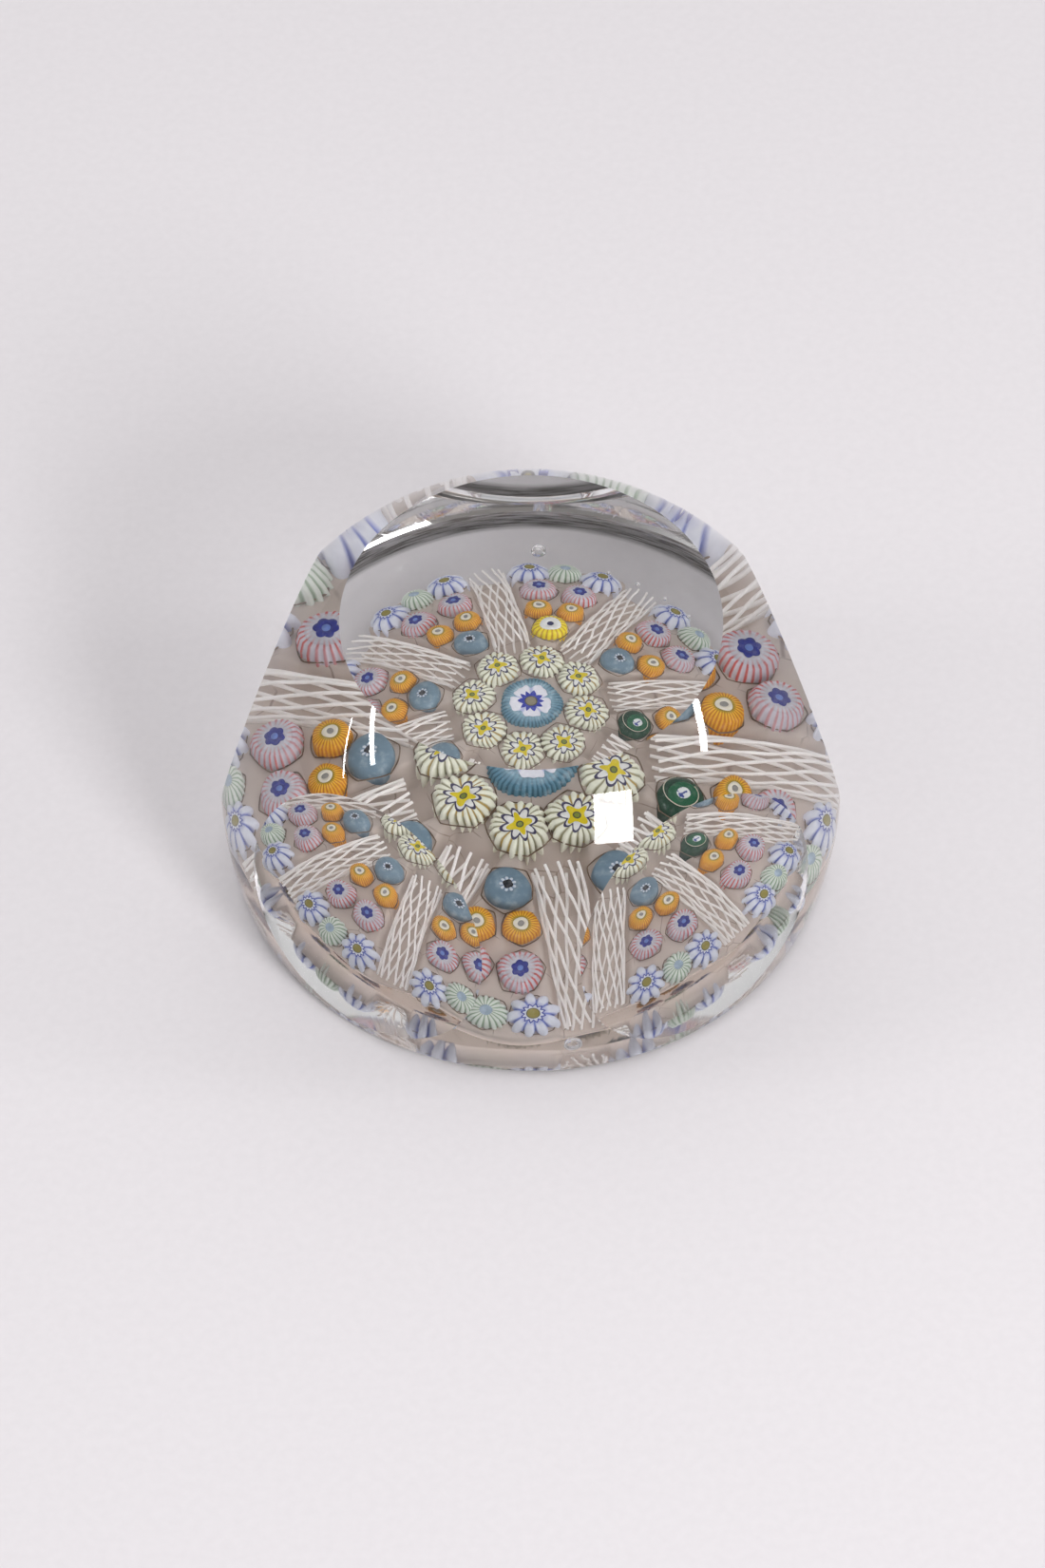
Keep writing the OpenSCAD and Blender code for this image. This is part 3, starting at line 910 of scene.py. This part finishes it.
# the coil starts at a turn, sweeps round close to the cap, and opens at its end
coil_turn, coil_sweep, coil_open = 60 - green_spot[0][2], 300, 0.55
coil_share, coil_growth = 0.66, 0.36
coil_sink, rim_sink, end_sink, end_from = 0.02 * mm, 0.55 * mm, 0.9 * mm, 0.8
path = []
for i in range(coil_steps):
    t = i / (coil_steps - 1)
    r = inner_d / 2 * (coil_share + coil_growth * smooth((t - coil_open) / (1 - coil_open)))
    sink = coil_sink + rim_sink * (r / (inner_d / 2)) ** 3 + end_sink * max(0, t - end_from)
    path.append((r, radians(coil_turn - coil_sweep * t), sink))
coil = fine_line("coil", path, coil_radius, coil_sides)
coil_glass = cane_glass("coil_cream_glass", tint(216, 208, 190))
stand("green_coil", coil, green_spot, coil_glass, "cream_glass", ())


# ---- The orange canes ----
# A pair in each panel: amber glass that turns orange at the rim, drawn with
# about thirty fine lines, round a raised white ring with a grey middle.

orange_row, orange_d, orange_pair = 15.95 * mm, 3.0 * mm, 7.29
orange_spots = row_spots(orange_row, [-orange_pair, orange_pair], 21)
orange = CaneForm(orange_d, 210, crown=0.40 * mm, flare=0.12, power=3.0)
a = orange.angle
rib = wave(a, 30, 0.0, 1.0)
body = 0.97 + 0.015 * rib + 0.04 * np.cos(2 * a + 1) + 0.025 * np.cos(5 * a)
collar = 0.42 + 0.02 * np.cos(3 * a)
eye = 0.19 + 0.02 * np.cos(2 * a)


def amber_zones(board, colour):
    """Olive beside the white ring and deep orange at the rim."""
    share = board.attribute("out")
    ruddy = board.mix(share.above(0.62, 1.0) * 0.4, colour, tint(222, 126, 24))
    return board.mix(1 - share.above(0.46, 0.60), ruddy, tint(170, 142, 34))


amber_glass = cane_glass("amber_orange_glass", tint(246, 196, 50), tint(204, 126, 22),
                         groove_at=(0.25, 0.75), paint_over=amber_zones)
stand("orange_bodies", orange.layer("body", body, collar, rib, 0.04 * mm), orange_spots,
      amber_glass, "amber_glass", ("orange_bodies",))
collar_glass = cane_glass("collar_white_glass", tint(240, 232, 214))
stand("orange_rings", orange.layer("collar", collar, eye, top_steps=3, wall_steps=3),
      orange_spots, collar_glass, "opal_white_glass", ("orange_rings",))
grey_glass = cane_glass("grey_glass", tint(150, 146, 140))
stand("orange_cores", orange.layer("eye", eye, top_steps=3, wall_steps=3), orange_spots,
      grey_glass, "grey_glass", ("orange_cores",))


# ---- The pink and blue canes ----
# A pair in each panel: greyish lilac glass with some twenty red stripes that
# run over the rim and down the side, round a navy cog with a pale blue eye.

pink_row, pink_d, pink_pair = 19.75 * mm, 3.9 * mm, 7.2
pink_eye = 0.15


def uneven_stripes(board, colour):
    """The red is thicker on one side of a cane than on the other."""
    return board.mix(board.noise(330.0, 1.0).above(0.42, 0.62) * 0.45, colour,
                     tint(206, 200, 212))


pink_spots = row_spots(pink_row, [-pink_pair, pink_pair], 41)
pink = CaneForm(pink_d, 220, crown=0.40 * mm, flare=0.24, power=3.0)
a = pink.angle
rib = wave(a + 0.05 * np.sin(3 * a), 22, 0.0, 1.0)
edge = 0.88 + 0.035 * rib + 0.035 * np.cos(3 * a) + 0.03 * np.cos(2 * a + 2)
inner_edge = 0.72 + 0.02 * rib
cog = 0.36 + 0.09 * wave(a, 6, 0, 1, 0.6)
red_glass = cane_glass("red_stripe_glass", tint(204, 92, 86), tint(214, 206, 216),
                       groove_at=(0.45, 0.9), paint_over=uneven_stripes)
stand("pink_ribs", pink.layer("stripes", edge, inner_edge, rib, 0.06 * mm, deepen=0.05),
      pink_spots, red_glass, "red_glass", ("pink_ribs",))


def rim_blush(board, colour):
    """The stripes fade out towards the middle."""
    near = board.attribute("out").above(0.48, 0.78)
    stripe = board.attribute("rib").above(0.45, 0.9)
    return board.mix(near * stripe * 0.75, colour, tint(206, 112, 108))


lilac_glass = cane_glass("lilac_glass", tint(206, 204, 214), paint_over=rim_blush, cloud=0.2)
stand("pink_bodies", pink.layer("body", inner_edge, cog, rib), pink_spots, lilac_glass,
      "lilac_glass", ("pink_bodies",))
navy_glass = cane_glass("navy_glass", tint(34, 44, 140))
stand("pink_cogs", pink.layer("cog", cog, pink_eye, top_steps=3, wall_steps=3),
      pink_spots, navy_glass, "navy_glass", ("pink_cogs",))
sky_glass = cane_glass("pale_blue_eye_glass", tint(104, 132, 206))
stand("pink_cores", pink.layer("eye", pink_eye, top_steps=2, wall_steps=3), pink_spots,
      sky_glass, "pale_blue_glass", ("pink_cores",))


# ---- The flower canes ----
# Two in each panel, at the edge of the dome: nine white petals hang like a
# skirt, with blue in the gaps, from a blue zigzag round an olive middle.

outer_row, flower_d, flower_pair = 24.05 * mm, 4.0 * mm, 10.26
flower_spots = row_spots(outer_row, [-flower_pair, flower_pair], 61)
flower = CaneForm(flower_d, 216, crown=0.60 * mm, flare=0.50, power=3.0)
a = flower.angle
petal = wave(a + 0.06 * np.sin(2 * a), 9, 0.0, 1.0, 0.45)
edge = 0.70 + 0.22 * petal
zig = zigzag(a, 12, 0.45, 0.62)
zig_width = 0.09


def blue_root(board, colour):
    """Petals are tinted blue beside the zigzag."""
    return board.mix((1 - board.attribute("out").above(0.55, 0.78)) * 0.5, colour,
                     tint(120, 136, 210))


petal_glass = cane_glass("petal_glass", tint(233, 236, 250), tint(104, 122, 204),
                         groove_at=(0.15, 0.6), paint_over=blue_root)
stand("flower_petals", flower.layer("petals", edge, zig, petal, 0.10 * mm, deepen=0.26,
                                     wall_steps=12),
      flower_spots, petal_glass, "petal_glass", ("flower_petals",))


blue_glass = cane_glass("zigzag_blue_glass", tint(48, 66, 176))
stand("flower_outlines", flower.layer("zigzag", zig, zig - zig_width, top_steps=2,
                                      wall_steps=3),
      flower_spots, blue_glass, "royal_blue_glass", ("flower_outlines",))


def olive_middle(board, colour):
    """Olive heart with a dark rim, in a narrow white field."""
    share = board.attribute("out")
    rimmed = board.mix(share.above(0.27, 0.29), colour, tint(64, 62, 50))
    return board.mix(share.above(0.31, 0.33), rimmed, tint(226, 230, 244))


olive_glass = cane_glass("olive_heart_glass", tint(150, 138, 52), paint_over=olive_middle)
stand("flower_cores", flower.layer("heart", zig - zig_width, top_steps=9, wall_steps=3),
      flower_spots, olive_glass, "olive_glass", ("flower_cores",))


# ---- The pale canes ----
# One in each panel between the flowers: mint and white ribs round a cloudy
# pale blue middle.

pale_d, pale_core = 3.6 * mm, 0.34
pale_spots = row_spots(outer_row, [0], 81)
pale = CaneForm(pale_d, 216, crown=0.50 * mm, flare=0.36, power=3.0)
a = pale.angle
rib = wave(a + 0.06 * np.sin(3 * a), 18, 0.0, 1.0, 0.7)
edge = 0.80 + 0.08 * rib + 0.04 * np.cos(2 * a)
mint_glass = cane_glass("mint_rib_glass", tint(232, 240, 230), tint(150, 176, 146))
stand("pale_ribs", pale.layer("ribs", edge, pale_core, rib, 0.10 * mm, deepen=0.08,
                              top_steps=7),
      pale_spots, mint_glass, "mint_glass", ("pale_ribs",))
mist_glass = cane_glass("misty_blue_glass", tint(176, 198, 216), cloud=0.3)
stand("pale_cores", pale.layer("core", pale_core, top_steps=4, wall_steps=3), pale_spots,
      mist_glass, "pale_blue_glass", ("pale_cores",))


# ---- The lattice rods ----
# Eight clear rods lie between the panels, from the ring to the rim. Twelve
# fine white threads are twisted round inside each, and cross to a lattice.

rod_threads, thread_steps = 12, 44
lump_pace, rod_salt, thread_salt, rod_start = 3.5, 3.7, 5.3, 1.3
twisting, board, of = shape_tree("twisted_threads", (
    ("Start", "Geometry"), ("Rods", "Int"), ("Threads", "Int"), ("Steps", "Int"),
    ("First Turn", "Float"), ("Rod Step", "Float"), ("Path Radius", "Float"),
    ("Dome Z", "Float"), ("Tilt In", "Float"), ("Tilt Out", "Float"),
    ("Twist Radius", "Float"), ("Twist", "Float"), ("Flatness", "Float"),
    ("Thread Radius", "Float"), ("Wander", "Float"), ("Glass", "Material")), "Threads")
line_curve = board.add("GeometryNodeCurvePrimitiveLine", None, {"End": (0, 0, 1)})
line_curve = board.add("GeometryNodeResampleCurve", None,
                       {"Curve": line_curve, "Count": of["Steps"]})
strands = board.add("GeometryNodeDuplicateElements", {"domain": "SPLINE"},
                    {"Geometry": line_curve, "Amount": of["Rods"] * of["Threads"]})
number = Wire(board, strands.socket.node.outputs[1])
rod = (number / of["Threads"] + 0.001).math("FLOOR", number / of["Threads"] + 0.001)
thread = number - rod * of["Threads"]
along = board.add("GeometryNodeSplineParameter", out="Factor")
tilt = of["Tilt In"] + (of["Tilt Out"] - of["Tilt In"]) * along
lumps = board.add("ShaderNodeTexNoise", {"noise_dimensions": "4D"},
                  {"Vector": board.add("ShaderNodeCombineXYZ", None,
                                       {"X": along * lump_pace, "Y": rod * rod_salt}),
                   "W": thread * thread_salt, "Scale": 1.0, "Detail": 1.0}, out=1)
lump = [board.add("ShaderNodeSeparateXYZ", None, {0: lumps}, out=i) - 0.5 for i in range(3)]
angle = (thread / of["Threads"] * (2 * pi) + rod * rod_start + along * of["Twist"]
         + lump[0] * 0.5)
side = of["Twist Radius"] * angle.math("SINE", angle) + lump[1] * of["Wander"]
reach = (of["Path Radius"] + of["Twist Radius"] * of["Flatness"]
         * angle.math("COSINE", angle) + lump[2] * of["Wander"])
flat = reach * tilt.math("SINE", tilt)
turn = of["First Turn"] + (rod + 0.5) * of["Rod Step"]
spot = board.add("ShaderNodeCombineXYZ", None, {
    "X": flat * turn.math("COSINE", turn) - side * turn.math("SINE", turn),
    "Y": flat * turn.math("SINE", turn) + side * turn.math("COSINE", turn),
    "Z": of["Dome Z"] + reach * tilt.math("COSINE", tilt)})
strands = board.add("GeometryNodeSetPosition", None, {"Geometry": strands, "Position": spot})
profile = board.add("GeometryNodeCurvePrimitiveCircle", None,
                    {"Resolution": 8, "Radius": of["Thread Radius"]})
tubes = board.add("GeometryNodeCurveToMesh", None,
                  {"Curve": strands, "Profile Curve": profile, "Fill Caps": True})
tubes = board.add("GeometryNodeRealizeInstances", None, {0: tubes})
board.add("NodeGroupOutput", None, {
    0: board.add("GeometryNodeSetMaterial", None,
                 {"Geometry": tubes, "Material": of["Glass"]})})

# painted light: the white threads glow faintly, so they stay bright in the shade where the pad
# dips under the rods
thread_glass, board = finish("white_thread_glass")
surface(board, Base_Color=board.mix(board.noise(500.0).above(0.3, 0.7),
                                    tint(236, 230, 226), tint(246, 242, 240)),
        Roughness=0.35, Specular_IOR_Level=0.2,
        Emission_Color=tint(246, 242, 240), Emission_Strength=0.10,
        Normal=board.bump(board.noise(6000.0), 0.01 * mm, 0.3))
threads = run_tree("lattice_rods", bpy.data.meshes.new("start"), twisting, {
    "Rods": panels, "Threads": rod_threads, "Steps": thread_steps,
    "First Turn": radians(first_turn),
    "Rod Step": radians(step), "Path Radius": 36.75 * mm, "Dome Z": dome_z,
    "Tilt In": radians(15.1), "Tilt Out": radians(40.5), "Twist Radius": 2.02 * mm,
    "Flatness": 0.6, "Twist": radians(100), "Thread Radius": 0.14 * mm, "Wander": 0.60 * mm,
    "Glass": thread_glass})
threads.shade_smooth()
piece("lattice_threads", threads, thread_glass, stands_for=("lattice_rods",))


# ---- The seams of the clear casings ----
# Every cane was cased in clear glass before it was set. The casings have
# melted into the ground, and only thin brownish lines show where they met.

seam_glass, board = finish("seam_line_glass")
surface(board, Base_Color=board.mix(board.noise(700.0).above(0.35, 0.65),
                                    tint(92, 72, 56), tint(140, 120, 102)),
        Roughness=0.5, Specular_IOR_Level=0.1)


def seam(diameter, sides, depth, thickness=0.06 * mm, steps=72):
    """A thin closed line, a soft polygon, round a cane at a depth below its top."""
    path = []
    for i in range(steps):
        t = 2 * pi * i / steps
        corner = cos(pi / sides) / cos((t % (2 * pi / sides)) - pi / sides)
        r = diameter / 2 * (0.40 + 0.60 * corner) * (1 + 0.03 * sin(2 * t + sides))
        path.append((r, t, depth))
    return fine_line("seam", path, thickness, 5, closed=True)


seam_rise = 0.05 * mm
for name, spots, diameter, sides, nodes in (
        ("ring_casings", ring_spots, 5.5 * mm, 6, ("ring_casings",)),
        ("inner_casings", inner_spots, 4.7 * mm, 5, ()),
        ("orange_casings", orange_spots, 3.7 * mm, 5, ()),
        ("pink_casings", pink_spots, 4.7 * mm, 5, ("pink_casings",)),
        ("flower_casings", flower_spots, 4.9 * mm, 6, ("flower_casings",)),
        ("pale_casings", pale_spots, 4.3 * mm, 5, ("pale_casings",))):
    row_tilt = degrees(asin(spots[0][0] / dome_r))
    stand(name, seam(diameter, sides, ground_depth(row_tilt) - seam_rise), spots, seam_glass,
          "clear_casing", nodes)
